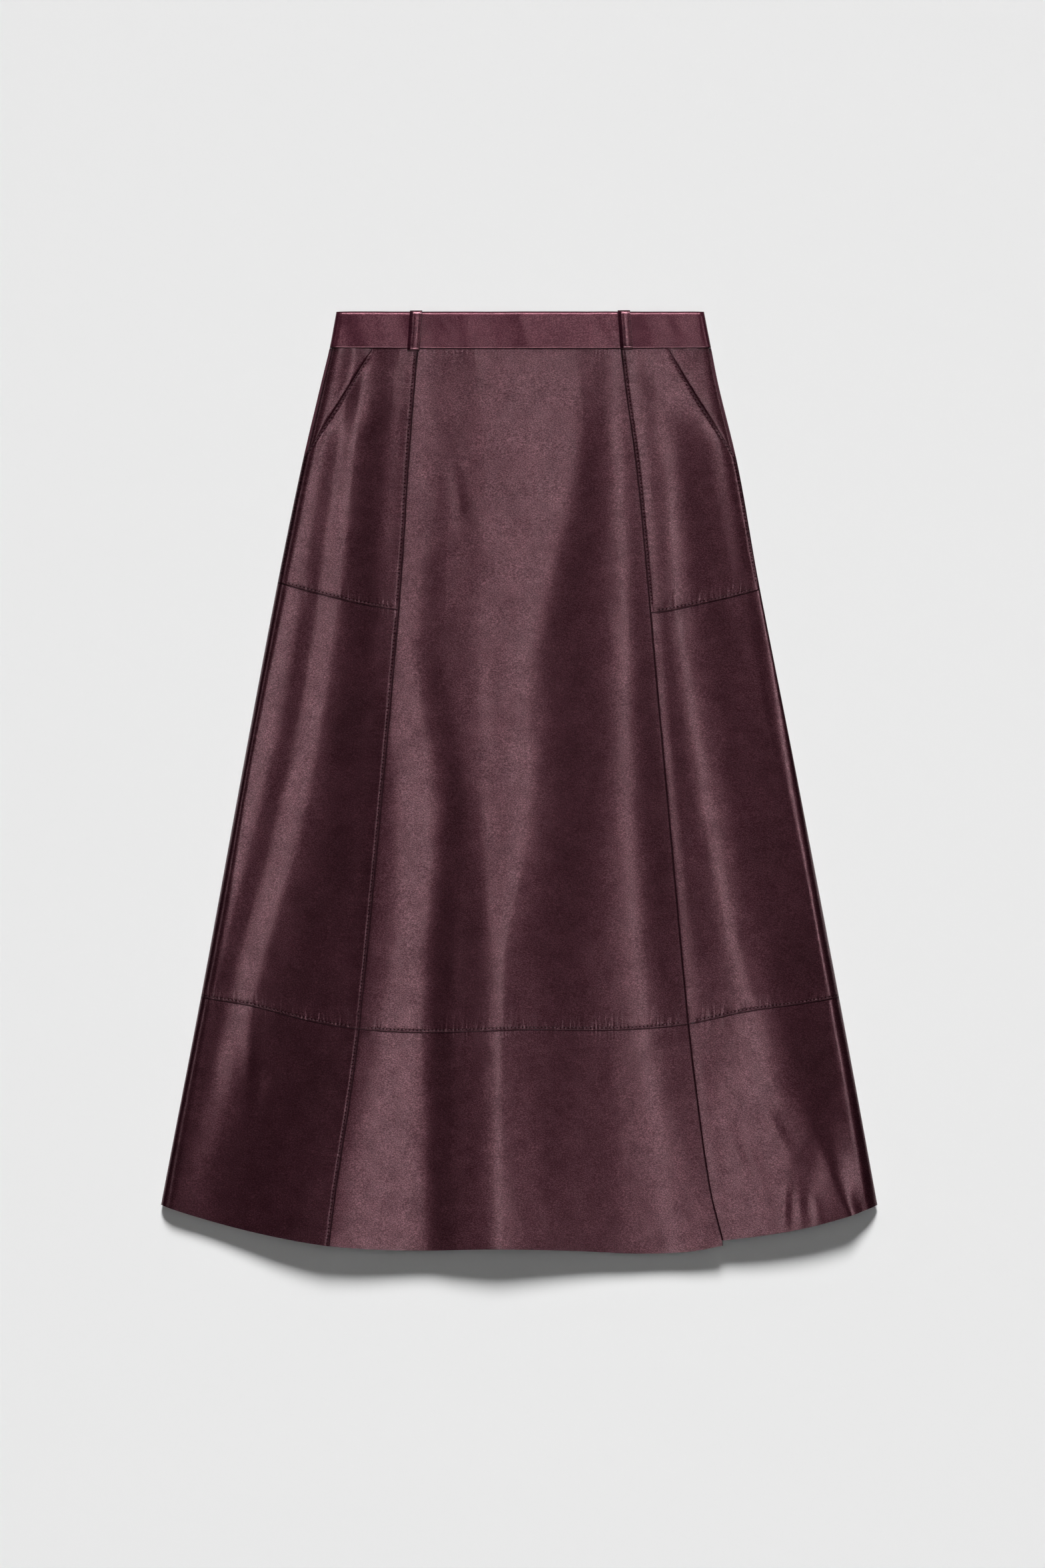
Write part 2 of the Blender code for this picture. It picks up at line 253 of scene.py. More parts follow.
def feed(socket, value):
    if isinstance(value, bpy.types.NodeSocket):
        socket.id_data.links.new(value, socket)
    else:
        socket.default_value = value


def object_place(tree):
    return add_node(tree, "ShaderNodeTexCoord").outputs["Object"]


def blend(tree, part, dark, light):
    node = add_node(tree, "ShaderNodeMix", data_type="RGBA")
    feed(node.inputs[0], part)
    node.inputs[6].default_value = dark
    node.inputs[7].default_value = light
    return node.outputs[2]


def raised(tree, height):
    """The surface's direction with this height, in metres, on it."""
    node = add_node(tree, "ShaderNodeBump")
    feed(node.inputs["Height"], height)
    node.inputs["Strength"].default_value = 1.0
    node.inputs["Distance"].default_value = 1.0
    return node.outputs["Normal"]


def reckon(tree, operation, first, second=0.0):
    """A Math node's result, from sockets or numbers."""
    node = add_node(tree, "ShaderNodeMath", operation=operation)
    feed(node.inputs[0], first)
    feed(node.inputs[1], second)
    return node.outputs[0]


def noise(tree, vector, scale, detail, roughness=0.5):
    node = add_node(tree, "ShaderNodeTexNoise")
    feed(node.inputs["Vector"], vector)
    node.inputs["Scale"].default_value = scale
    node.inputs["Detail"].default_value = detail
    node.inputs["Roughness"].default_value = roughness
    return node.outputs["Fac"]


def mapped(tree, value, low, high, new_low, new_high, smooth=False):
    node = add_node(tree, "ShaderNodeMapRange",
                    interpolation_type="SMOOTHSTEP" if smooth else "LINEAR")
    feed(node.inputs["Value"], value)
    node.inputs["From Min"].default_value = low
    node.inputs["From Max"].default_value = high
    node.inputs["To Min"].default_value = new_low
    node.inputs["To Max"].default_value = new_high
    return node.outputs["Result"]


def times(tree, first, second):
    return reckon(tree, "MULTIPLY", first, second)


def bell(tree, value):
    """1 where the value is 0, falling away to both sides."""
    return reckon(tree, "EXPONENT", times(tree, times(tree, value, value), -1.0))


stitch_pitch = 0.0035
stitch_away = 0.0021         # from the seam to its row of stitches
pebble_height = 0.000006
fine_height = 0.000034
broad_height = 0.000058
pucker_height = 0.0007
pucker_reach = 0.0065
hole_depth = 0.00013
hole_width = 0.0009
seam_shade_width = 0.0006


def grain_leather(name, dark, light, roughness, gloss, polish, grain_slant):
    """Satin nappa with a fine pebble grain, drawn in by the stitches beside its seams, with painted
    shade along the seams and in the needle holes.
    """
    material, tree, skin = new_finish(name)
    place = object_place(tree)
    turned = add_node(tree, "ShaderNodeMapping")
    feed(turned.inputs["Vector"], place)
    turned.inputs["Rotation"].default_value = (0, 0, grain_slant)
    turned.inputs["Scale"].default_value = (1.0, 1.25, 1.0)
    bent = add_node(tree, "ShaderNodeTexNoise")
    feed(bent.inputs["Vector"], place)
    bent.inputs["Scale"].default_value = 240
    shifted = add_node(tree, "ShaderNodeVectorMath", operation="MULTIPLY_ADD")
    feed(shifted.inputs[0], bent.outputs["Color"])
    shifted.inputs[1].default_value = (0.0010, 0.0010, 0.0010)
    feed(shifted.inputs[2], turned.outputs["Vector"])
    cells = add_node(tree, "ShaderNodeTexVoronoi", feature="DISTANCE_TO_EDGE")
    feed(cells.inputs["Vector"], shifted.outputs["Vector"])
    cells.inputs["Scale"].default_value = 640
    pebbles = mapped(tree, cells.outputs["Distance"], 0.0, 0.12, 0.0, 1.0, smooth=True)
    fine = noise(tree, shifted.outputs["Vector"], 1300, 1)
    broad = noise(tree, shifted.outputs["Vector"], 520, 2)
    patches = noise(tree, place, 16, 3, 0.55)

    # The grain is stronger in some areas of a hide than in others.
    strength = mapped(tree, patches, 0.35, 0.65, 0.7, 1.2)
    relief = reckon(tree, "ADD", times(tree, pebbles, pebble_height),
                    times(tree, fine, fine_height))
    relief = reckon(tree, "ADD", relief, times(tree, broad, broad_height))
    grain = times(tree, relief, strength)

    # Beside a seam: puckers that die away from it, which also carry painted sheen and shade, and
    # the needle's holes, with painted shade in them.
    seam = add_node(tree, "ShaderNodeAttribute", attribute_name="seam")
    parts = add_node(tree, "ShaderNodeSeparateXYZ")
    feed(parts.inputs[0], seam.outputs["Vector"])
    away, along, kind = parts.outputs
    fading = reckon(tree, "EXPONENT", times(tree, away, -1 / pucker_reach))
    drawn = add_node(tree, "ShaderNodeCombineXYZ")
    feed(drawn.inputs[0], times(tree, along, 330.0))
    feed(drawn.inputs[1], times(tree, away, 45.0))
    ribs_and_sheen = reckon(tree, "SUBTRACT", noise(tree, drawn.outputs[0], 1.0, 2), 0.5)
    ribs_and_sheen = times(tree, ribs_and_sheen, times(tree, fading, kind))
    beat = reckon(tree, "COSINE", times(tree, along, math.tau / stitch_pitch))
    beat = reckon(tree, "POWER", mapped(tree, beat, -1, 1, 0, 1), 2.5)
    off = times(tree, reckon(tree, "SUBTRACT", away, stitch_away), 1 / hole_width)
    sewn = mapped(tree, kind, 0.6, 0.9, 0.0, 1.0)
    holes_and_shade = times(tree, mapped(tree, beat, 0, 1, 0.25, 1.0), bell(tree, off))
    holes_and_shade = times(tree, holes_and_shade, sewn)

    height = reckon(tree, "ADD", grain, times(tree, ribs_and_sheen, pucker_height))
    height = reckon(tree, "SUBTRACT", height, times(tree, holes_and_shade, hole_depth))
    normal = raised(tree, height)
    feed(skin.inputs["Normal"], normal)
    feed(skin.inputs["Coat Normal"], normal)

    tone = reckon(tree, "ADD", mapped(tree, pebbles, 0, 1, 0.0, 0.3),
                  mapped(tree, patches, 0.3, 0.7, 0.0, 0.7))
    # Painted shade: the base colour is darkened in the needle holes.
    tone = reckon(tree, "SUBTRACT", tone, times(tree, holes_and_shade, 1.2))
    feed(skin.inputs["Base Color"], blend(tree, tone, dark, light))
    feed(skin.inputs["Roughness"], mapped(tree, pebbles, 0, 1, roughness + 0.02, roughness))

    # The finish lies unevenly on the pebbles and the hide. It also carries painted sheen and shade.
    flecks = noise(tree, shifted.outputs["Vector"], 880, 1, 0.6)
    finish_and_shade = times(tree, mapped(tree, pebbles, 0, 1, 0.9, 1.04),
                   mapped(tree, flecks, 0.40, 0.72, 0.66, 1.90))
    uneven = mapped(tree, noise(tree, place, 55, 4, 0.65), 0.3, 0.7, 0.78, 1.22)
    finish_and_shade = times(tree, finish_and_shade, uneven)
    # Painted sheen and shade on the puckers: the gloss rises on their tops and falls between them.
    finish_and_shade = times(tree, finish_and_shade, reckon(tree, "ADD", 1.0, times(tree, ribs_and_sheen, 2.8)))
    # Painted shade: the gloss is taken down in the needle holes.
    finish_and_shade = times(tree, finish_and_shade, reckon(tree, "SUBTRACT", 1.0, holes_and_shade))
    # Painted shade: the gloss is taken down along the edges of seams, where the leather meets its
    # neighbour.
    seam_shade = bell(tree, times(tree, away, 1 / seam_shade_width))
    seam_shade = times(tree, seam_shade, mapped(tree, kind, 0.0, 0.4, 0.0, 0.92))
    finish_and_shade = times(tree, finish_and_shade, reckon(tree, "SUBTRACT", 1.0, seam_shade))
    feed(skin.inputs["Specular IOR Level"], times(tree, finish_and_shade, gloss))
    feed(skin.inputs["Coat Weight"], times(tree, finish_and_shade, polish))
    skin.inputs["Specular Tint"].default_value = (1.0, 0.36, 0.47, 1.0)
    skin.inputs["Coat Roughness"].default_value = 0.19
    return material


burgundy = grain_leather("burgundy leather", (0.0052, 0.0008, 0.0018, 1),
                         (0.0104, 0.0018, 0.0038, 1), 0.276, 0.70, 0.33, 0.6)

suede_side, suede_tree, suede = new_finish("suede side")
nap = noise(suede_tree, object_place(suede_tree), 900, 4, 0.7)
feed(suede.inputs["Base Color"],
     blend(suede_tree, nap, (0.045, 0.011, 0.018, 1), (0.105, 0.030, 0.046, 1)))
feed(suede.inputs["Normal"], raised(suede_tree, times(suede_tree, nap, 0.0001)))
suede.inputs["Roughness"].default_value = 0.85
suede.inputs["Specular IOR Level"].default_value = 0.3


fold_bend = 0.0006           # the radius of a folded edge
fold_step = 0.00040          # what the leather folded under it adds
fold_reach = 0.0080
groove_depth = 0.00012       # of the line that the stitches pull in
groove_width = 0.0006
blind_bend = 0.0007
blind_step = 0.00032
blind_reach = 0.0060


def rounded(away, bend):
    """How much lower a rounded edge is, this far in from it."""
    return bend - np.sqrt(bend ** 2 - np.clip(bend - away, 0, bend) ** 2)


def turned_edge(away):
    """A folded edge that lies on top of its neighbour: thicker, stitched down, and rolled."""
    thick = fold_step * np.exp(-(away / fold_reach) ** 2)
    groove = groove_depth * np.exp(-((away - stitch_away) / groove_width) ** 2)
    return thick - groove - rounded(away, fold_bend)


def blind_edge(away):
    """A folded edge that is sewn from the inside, with no stitches to be seen."""
    return blind_step * np.exp(-(away / blind_reach) ** 2) - rounded(away, blind_bend)


def tucked_edge(away):
    """The edge that runs in under a folded one."""
    return -0.00004 * np.exp(-away / 0.0010)


def butted_edge(away):
    """A plain seam pressed open: both edges turn down into it."""
    return -rounded(away, fold_bend) * 0.8


def raw_edge(away):
    return 0 * away


edge_shapes = {"over": turned_edge, "blind": blind_edge, "under": tucked_edge,
               "plain": butted_edge, "raw": raw_edge, "side": raw_edge}
# How strongly a seam marks the leather beside it: puckers with painted sheen and shade on them,
# painted shade along its edge, and painted shade in the needle holes of topstitched ones.
seam_strength = {"over": 1.0, "blind": 0.4, "under": 0.4, "plain": 0.3, "raw": 0.0, "side": 0.0}


def edge_relief(places, left, right, top, bottom):
    """Height that the four edges add, and the seam attribute: away, along, strength."""
    x, _ = plan(places.across, places.down)
    sides = ((left, places.left, places.down), (right, places.right, places.down),
             (top, places.top, x), (bottom, places.bottom, x))
    height = 0 * x
    nearest = 1.0 + height
    next_nearest = 1.0 + height
    along = 0 * x
    strength = 0 * x
    for edge, away, run in sides:
        height = height + edge_shapes[edge.kind](away)
        if seam_strength[edge.kind] > 0:
            closer = away < nearest
            next_nearest = np.where(closer, nearest, np.minimum(next_nearest, away))
            nearest = np.where(closer, away, nearest)
            along = np.where(closer, run, along)
            strength = np.where(closer, seam_strength[edge.kind], strength)
    # The puckers of two seams fade where they would cross, near a panel's corners.
    apart = np.clip((next_nearest - nearest) / 0.006, 0, 1) ** 2
    # Right at a seam's edge its painted shade stays.
    beside_seam = np.exp(-(nearest / 0.0012) ** 2)
    strength = np.maximum(strength * apart, np.minimum(strength, 0.4) * beside_seam)
    return height, (nearest, along, strength)


hide_waves = np.random.default_rng(23)
wave_count = 40
wave_slope = 0.00021         # a swell's height as a share of its length
wave_lengths = hide_waves.uniform(0.012, 0.060, wave_count)
wave_turns = hide_waves.normal(0.0, 0.9, wave_count)
wave_starts = hide_waves.uniform(0, math.tau, wave_count)


def hide_waviness(x, y):
    """The leather never lies quite smooth: low swells 1 to 6 cm long."""
    total = 0 * x
    for length, bearing, start in zip(wave_lengths, wave_turns, wave_starts):
        run = x * math.cos(bearing) + y * math.sin(bearing)
        total = total + wave_slope * length * np.sin(math.tau * run / length + start)
    return total


Crease = namedtuple("Crease", "x0 y0 x1 y1 width height")


def creased(creases, x, y):
    """Height of soft creases, each along a line, fading over its width."""
    total = 0 * x
    for crease in creases:
        run_x, run_y = crease.x1 - crease.x0, crease.y1 - crease.y0
        part = ((x - crease.x0) * run_x + (y - crease.y0) * run_y) / (run_x ** 2 + run_y ** 2)
        part = np.clip(part, 0, 1)
        off = np.hypot(x - crease.x0 - part * run_x, y - crease.y0 - part * run_y)
        taper = 0.35 + 0.65 * np.sin(math.pi * np.clip(part, 0.02, 0.98))
        total = total + crease.height * taper * np.exp(-(off / crease.width) ** 2)
    return total


# Creases pressed into the back while it lies, seen only when it is turned over.
back_creases = (
    Crease(-0.150, 0.330, -0.175, 0.180, 0.0080, 0.0009),
    Crease(-0.060, 0.250, -0.085, -0.020, 0.0110, 0.0010),
    Crease(0.050, 0.300, 0.095, 0.060, 0.0095, 0.0009),
    Crease(0.130, 0.350, 0.180, 0.150, 0.0075, 0.0008),
    Crease(0.170, 0.080, 0.205, -0.180, 0.0120, 0.0010),
    Crease(-0.120, -0.020, -0.150, -0.250, 0.0130, 0.0011),
    Crease(-0.040, -0.060, -0.030, -0.215, 0.0085, 0.0006),
    Crease(0.080, -0.040, 0.110, -0.220, 0.0100, 0.0008),
    Crease(-0.240, -0.270, -0.285, -0.390, 0.0095, 0.0009),
    Crease(-0.120, -0.260, -0.110, -0.400, 0.0120, 0.0010),
    Crease(0.060, -0.280, 0.075, -0.420, 0.0110, 0.0010),
    Crease(0.200, -0.250, 0.245, -0.395, 0.0100, 0.0009),
    Crease(0.255, -0.300, 0.225, -0.350, 0.0070, 0.0006),
)
back_lift = 0.0010           # the leather's field stands this clear of its seams, which rest
surface_room = 0.00002       # nothing comes closer to the surface than this


def back_points(places, relief, over):
    x, y = plan(places.across, places.down, inset=over)
    swell = creased(back_creases, x, y) + 0.8 * hide_waviness(x + 1.3, y)
    outer = np.maximum(back_lift + swell - relief, surface_room)
    seam = side_seam_height(places.down) - seam_gap / 2
    past = past_roll(places, back_roll(places.down))
    return x, y, seam - np.sqrt(1 - past ** 2) * (seam - outer - over)


def take_place(piece, node):
    """A finished piece takes its solid's place."""
    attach(piece, "root")
    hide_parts(node)


def back_piece(name, node, left, right, top, bottom, columns, rows):
    places = cut(left, right, top, bottom, columns, rows, back_roll)
    relief, seams = edge_relief(places, left, right, top, bottom)
    piece = shell(name, back_points(places, relief, 0.0),
                  back_points(places, relief, leather_thickness),
                  (burgundy, suede_side), seams)
    take_place(piece, node)
    return piece


def at(value):
    return lambda other: 0 * other + value


left_side = Edge(at(-1.0), side_steps, "side")
right_side = Edge(at(1.0), side_steps, "side")
centre_back = Edge(at(0.0), sewn_steps, "plain")
waist_edge = Edge(at(band_height), sewn_steps, "under")
back_foot = Edge(at(hem_band_top), sewn_steps, "over")

back_left = back_piece(
    "back_leather_left", "back_panel_left", left_side, centre_back, waist_edge, back_foot,
    70, 150)
back_right = back_piece(
    "back_leather_right", "back_panel_right", centre_back, right_side, waist_edge, back_foot,
    70, 150)


# ---------------------------------------------------------------- hem band, back
# The lower fifth of the back is a separate band in two halves, sewn on under the back
# panels. Its lower edge is cut raw.

band_head = Edge(at(hem_band_top), sewn_steps, "under")
back_hem = Edge(at(skirt_length), plain_steps, "raw")

hem_band_back_left = back_piece(
    "hem_leather_back_left", "hem_band_back_left", left_side, centre_back, band_head, back_hem,
    80, 62)
hem_band_back_right = back_piece(
    "hem_leather_back_right", "hem_band_back_right", centre_back, right_side, band_head, back_hem,
    80, 62)


# ---------------------------------------------------------------- front centre panel
# One long panel that flares from the waist to the hem band. Its lower edge is folded and
# topstitched over the hem band. The folds that the front lies in run down through it and
# through the panels beside it, so the front's form is set here.

fold_levels = (0.0345, 0.135, 0.310, 0.460, 0.612, 0.8715)     # from the waist seam to the hem
FoldLine = namedtuple("FoldLine", "name across high")
fold_lines = (
    FoldLine("left edge", (-1.00, -1.00, -1.00, -1.00, -1.00, -1.00),
             (0.0067, 0.0093, 0.0121, 0.0135, 0.0136, 0.0104)),
    FoldLine("left groove", (-0.93, -0.90, -0.875, -0.895, -0.945, -0.98),
             (0.0063, 0.00785, 0.0101, 0.0115, 0.01245, 0.01025)),
    FoldLine("left ridge", (-0.89, -0.855, -0.83, -0.85, -0.905, -0.965),
             (0.0064, 0.0079, 0.0102, 0.0116, 0.0125, 0.0103)),
    FoldLine("left dip", (-0.80, -0.76, -0.73, -0.745, -0.81, -0.90),
             (0.0052, 0.0067, 0.0090, 0.0101, 0.0107, 0.0102)),
    FoldLine("seam ridge", (-0.63, -0.59, -0.52, -0.443, -0.427, -0.54),
             (0.0064, 0.0082, 0.0116, 0.0140, 0.0157, 0.0180)),
    FoldLine("seam dip", (-0.44, -0.38, -0.41, -0.30, -0.312, -0.265),
             (0.0054, 0.0076, 0.0111, 0.0129, 0.0147, 0.0146)),
    FoldLine("seam rise", (-0.32, -0.28, -0.29, -0.175, -0.20, -0.16),
             (0.0057, 0.0079, 0.0122, 0.0150, 0.0172, 0.0175)),
    FoldLine("centre left", (-0.22, -0.15, -0.13, -0.12, -0.075, -0.06),
             (0.0061, 0.0083, 0.0131, 0.0155, 0.0193, 0.0194)),
    FoldLine("centre right", (0.28, 0.25, 0.07, 0.055, -0.045, -0.04),
             (0.0060, 0.0081, 0.0129, 0.0152, 0.0191, 0.0192)),
    FoldLine("right dip", (0.50, 0.45, 0.417, 0.378, 0.372, 0.395),
             (0.0050, 0.0056, 0.0064, 0.0080, 0.0090, 0.0110)),
    FoldLine("right rise", (0.585, 0.575, 0.545, 0.545, 0.560, 0.645),
             (0.0056, 0.0071, 0.0089, 0.0124, 0.0144, 0.0157)),
    FoldLine("right ridge", (0.70, 0.70, 0.668, 0.69, 0.725, 0.915),
             (0.0062, 0.0086, 0.0112, 0.0160, 0.0188, 0.0178)),
    FoldLine("right shoulder", (0.88, 0.88, 0.90, 0.90, 0.93, 0.965),
             (0.0058, 0.0070, 0.0084, 0.0130, 0.0157, 0.0125)),
    FoldLine("right edge", (1.00, 1.00, 1.00, 1.00, 1.00, 1.00),
             (0.0056, 0.0068, 0.0080, 0.0112, 0.0138, 0.0085)),
)

LongSeam = namedtuple("LongSeam", "down left right")
long_seams = (
    LongSeam(0.0345, -0.535, 0.531),
    LongSeam(0.1400, -0.512, 0.537),
    LongSeam(0.2450, -0.493, 0.539),
    LongSeam(0.3800, -0.490, 0.532),
    LongSeam(0.6320, -0.498, 0.526),
    LongSeam(0.7100, -0.504, 0.529),
    LongSeam(0.8200, -0.524, 0.544),
    LongSeam(0.8740, -0.528, 0.567),
)

CrossSeam = namedtuple("CrossSeam", "across down")
hem_band_seam = (
    CrossSeam(-1.00, 0.6664),
    CrossSeam(-0.85, 0.6636),
    CrossSeam(-0.60, 0.6694),
    CrossSeam(-0.35, 0.6704),
    CrossSeam(0.00, 0.6660),
    CrossSeam(0.35, 0.6682),
    CrossSeam(0.53, 0.6664),
    CrossSeam(0.72, 0.6612),
    CrossSeam(1.00, 0.6664),
)

front_creases = (
    Crease(-0.062, 0.300, -0.052, 0.235, 0.0060, -0.0002),
    Crease(0.020, 0.350, 0.046, 0.300, 0.0080, -0.0002),
    Crease(0.244, -0.262, 0.283, -0.316, 0.0140, -0.0006),
    Crease(0.283, -0.316, 0.265, -0.390, 0.0140, -0.0006),
    Crease(0.247, -0.376, 0.245, -0.410, 0.0040, 0.0004),
    Crease(0.259, -0.380, 0.261, -0.410, 0.0045, 0.0004),
    Crease(0.273, -0.386, 0.278, -0.410, 0.0045, 0.0003),
    Crease(0.311, -0.386, 0.320, -0.401, 0.0050, -0.0004),
    Crease(0.224, -0.300, 0.250, -0.345, 0.0070, 0.0004),
    Crease(0.205, -0.320, 0.222, -0.372, 0.0075, 0.0004),
    Crease(-0.248, -0.225, -0.252, -0.275, 0.0060, -0.0004),
    Crease(-0.238, -0.262, -0.245, -0.305, 0.0070, 0.0003),
)


def long_seam(side):
    return lambda down: column(long_seams, "down", side, down)


def cross_seam(rows):
    return lambda across: column(rows, "across", "down", across)


def front_height(across, down):
    """The front's outer face, before seams, as it lies."""
    places = [through(fold_levels, line.across, down) for line in fold_lines]
    heights = [through(fold_levels, line.high, down) for line in fold_lines]
    level = through(places, heights, across, level_turns=True)
    x, y = plan(across, down)
    return level + hide_waviness(x, y) + creased(front_creases, x, y)


# The left edge is folded more tightly than the right one, most of all below the hip.
left_roll = 0.0120
left_roll_loss = 0.0045
tightest_down = 0.42
tight_span = 0.13


def front_points(places, relief, under, lift=0.0):
    x, y = plan(places.across, places.down, inset=under)
    seam = side_seam_height(places.down) + seam_gap / 2
    level = front_height(places.across, places.down) + relief + lift - under
    roll = front_roll(places.down)
    tight = left_roll - left_roll_loss * np.exp(-((places.down - tightest_down) / tight_span) ** 2)
    roll = np.where(places.across < 0, np.minimum(tight, roll), roll)
    past = past_roll(places, roll)
    return x, y, seam + np.sqrt(1 - past ** 2) * (level - seam)


def front_piece(name, node, left, right, top, bottom, columns, rows):
    places = cut(left, right, top, bottom, columns, rows, front_roll)
    relief, seams = edge_relief(places, left, right, top, bottom)
    piece = shell(name, front_points(places, relief, 0.0),
                  front_points(places, relief, leather_thickness),
                  (burgundy, suede_side), seams)
    take_place(piece, node)


under_left = Edge(long_seam("left"), sewn_steps, "under")
under_right = Edge(long_seam("right"), sewn_steps, "under")
over_band = Edge(cross_seam(hem_band_seam), sewn_steps, "over")

front_piece(
    "front_leather_centre", "front_centre_panel", under_left, under_right, waist_edge, over_band,
    105, 230)


# ---------------------------------------------------------------- side front panels
# One on each side below the hip, from the hip seam to the hem band. Their edges are folded
# over the centre panel and the hem band. All are topstitched but the right one's long edge.

hip_seam = (
    CrossSeam(-1.00, 0.2616),
    CrossSeam(-0.80, 0.2695),
    CrossSeam(-0.49, 0.2790),
    CrossSeam(0.54, 0.2821),
    CrossSeam(0.81, 0.2749),
    CrossSeam(1.00, 0.2683),
)

over_left = Edge(long_seam("left"), sewn_steps, "over")
blind_right = Edge(long_seam("right"), sewn_steps, "blind")
under_hip = Edge(cross_seam(hip_seam), sewn_steps, "under")

front_piece(
    "front_leather_side_left", "side_front_panel_left", left_side, over_left, under_hip, over_band,
    48, 145)
front_piece(
    "front_leather_side_right", "side_front_panel_right", blind_right, right_side, under_hip,
    over_band, 46, 145)


# ---------------------------------------------------------------- hem band, front
# Three pieces, cut in line with the panels above. The seam on the left is topstitched, and
# the right band is cut a little shorter than the centre one. The lower edge is raw.

hem_centre = (
    CrossSeam(-0.53, 0.8742),
    CrossSeam(-0.30, 0.8725),
    CrossSeam(-0.08, 0.8690),
    CrossSeam(0.15, 0.8711),
    CrossSeam(0.33, 0.8762),
    CrossSeam(0.47, 0.8780),
    CrossSeam(0.57, 0.8756),
)
hem_left = (
    CrossSeam(-1.00, 0.8708),
    CrossSeam(-0.80, 0.8724),
    CrossSeam(-0.53, 0.8742),
)
hem_right = (
    CrossSeam(0.57, 0.8708),
    CrossSeam(0.80, 0.8726),
    CrossSeam(1.00, 0.8712),
)

under_panels = Edge(cross_seam(hem_band_seam), sewn_steps, "under")


def raw_hem(rows):
    return Edge(cross_seam(rows), plain_steps, "raw")


front_piece(
    "hem_leather_front_left", "hem_band_front_left", left_side, over_left, under_panels,
    raw_hem(hem_left), 56, 82)
front_piece(
    "hem_leather_front_centre", "hem_band_front_centre", under_left, under_right, under_panels,
    raw_hem(hem_centre), 130, 82)
front_piece(
    "hem_leather_front_right", "hem_band_front_right", blind_right, right_side, under_panels,
    raw_hem(hem_right), 54, 82)


# ---------------------------------------------------------------- hip panels and pockets
# Each hip panel has a slanting pocket mouth cut in its outer edge, which is folded and
# topstitched and stands a little open. Behind the mouth is the pocket bearer, a piece of the
# same leather that carries on the skirt's outline.

pocket_end = 0.139
pocket_start = 0.775
mouth_lift = 0.0016
mouth_reach = 0.026
bearer_depth = 0.032
bearer_under = 0.0022
bearer_dip = 0.0012
bearer_slope = 0.0007


def mouth(down):
    part = np.clip((down - band_height) / (pocket_end - band_height), 0, 1)
    return pocket_start + (1 - pocket_start) * part


def open_by(down):
    part = np.clip((down - band_height) / (pocket_end - band_height), 0, 1)
    return np.sin(math.pi * part ** 0.8) ** 2


def mouth_gape(across, down):
    away = (mouth(down) - np.abs(across)) * half_width(across, down) / mouth_reach
    return mouth_lift * open_by(down) * np.exp(-away * away)


def hip_piece(side, sign):
    outer = Edge(lambda down: sign * mouth(down), sewn_steps, "over")
    inner = Edge(long_seam(side), sewn_steps, "over")
    left, right = (outer, inner) if sign < 0 else (inner, outer)
    bottom = Edge(cross_seam(hip_seam), sewn_steps, "over")
    places = cut(left, right, waist_edge, bottom, 44, 100, front_roll)
    relief, seams = edge_relief(places, left, right, waist_edge, bottom)
    lift = mouth_gape(places.across, places.down)
    piece = shell("hip_leather_" + side, front_points(places, relief, 0.0, lift),
                  front_points(places, relief, leather_thickness, lift),
                  (burgundy, suede_side), seams)
    take_place(piece, "hip_panel_" + side)


def bearer_piece(side, sign):
    def inner_edge(down):
        return sign * (mouth(down) - bearer_depth / half_width(0 * down + sign, down))

    inner = Edge(inner_edge, plain_steps, "raw")
    outer = Edge(at(float(sign)), side_steps, "side")
    left, right = (outer, inner) if sign < 0 else (inner, outer)
    top = Edge(at(band_height), plain_steps, "raw")
    bottom = Edge(at(pocket_end + 0.02), plain_steps, "raw")
    places = cut(left, right, top, bottom, 40, 46, front_roll)
    # It dips on its way in under the mouth's edge.
    past = (np.abs(places.across) - mouth(places.down)) * half_width(places.across, places.down)
    past = np.maximum(past, 0)
    dip = bearer_slope * np.exp(-past / 0.0048) + bearer_dip * np.exp(-(past / 0.0018) ** 2)
    dip = -dip * (0.25 + 0.75 * open_by(places.down))
    # Its seam attribute takes its gloss down beside the mouth's edge: painted shade under the hip
    # panel's edge.
    piece = shell("bearer_leather_" + side, front_points(places, dip, bearer_under),
                  front_points(places, dip, bearer_under + leather_thickness),
                  (burgundy, suede_side), (0.25 * past, places.down, 0 * past + 0.4))
    take_place(piece, "pocket_bearer_" + side)
    return piece


bearer_left = bearer_piece("left", -1)
bearer_right = bearer_piece("right", 1)
hip_piece("left", -1)
hip_piece("right", 1)


# ---------------------------------------------------------------- waistband
# A straight strip folded double over a stiffener, with a soft fold along its top. Its lower
# edge lies on the panels and hides their upper edges. The back half closes in the middle.

band_top = 0.0066
band_thickness = 0.0023
band_steps = np.array(((0.0, 0.00015, 0.00045, 0.0009, 0.0014, 0.0020, 0.0030, 0.0045), (0.0,) * 8))


def folded_down(away, depth, width):
    return depth - depth * np.sqrt(1 - np.clip(1 - away / width, 0, 1) ** 2)


def band_profile(places):
    """The soft fold along the top, and the sharper one at the foot."""
    return (-folded_down(places.top, 0.0020, 0.0045)
            - folded_down(places.bottom, 0.0012, 0.0022))


# The stiffener holds the strip's leather flat, so it shines less than the panels. Its colour is a
# lighter copy of the leather's: painted light.
lit_band_leather = grain_leather("lit waistband leather", (0.0165, 0.0030, 0.0064, 1),
                             (0.0350, 0.0066, 0.0135, 1), 0.29, 0.64, 0.15, 0.9)

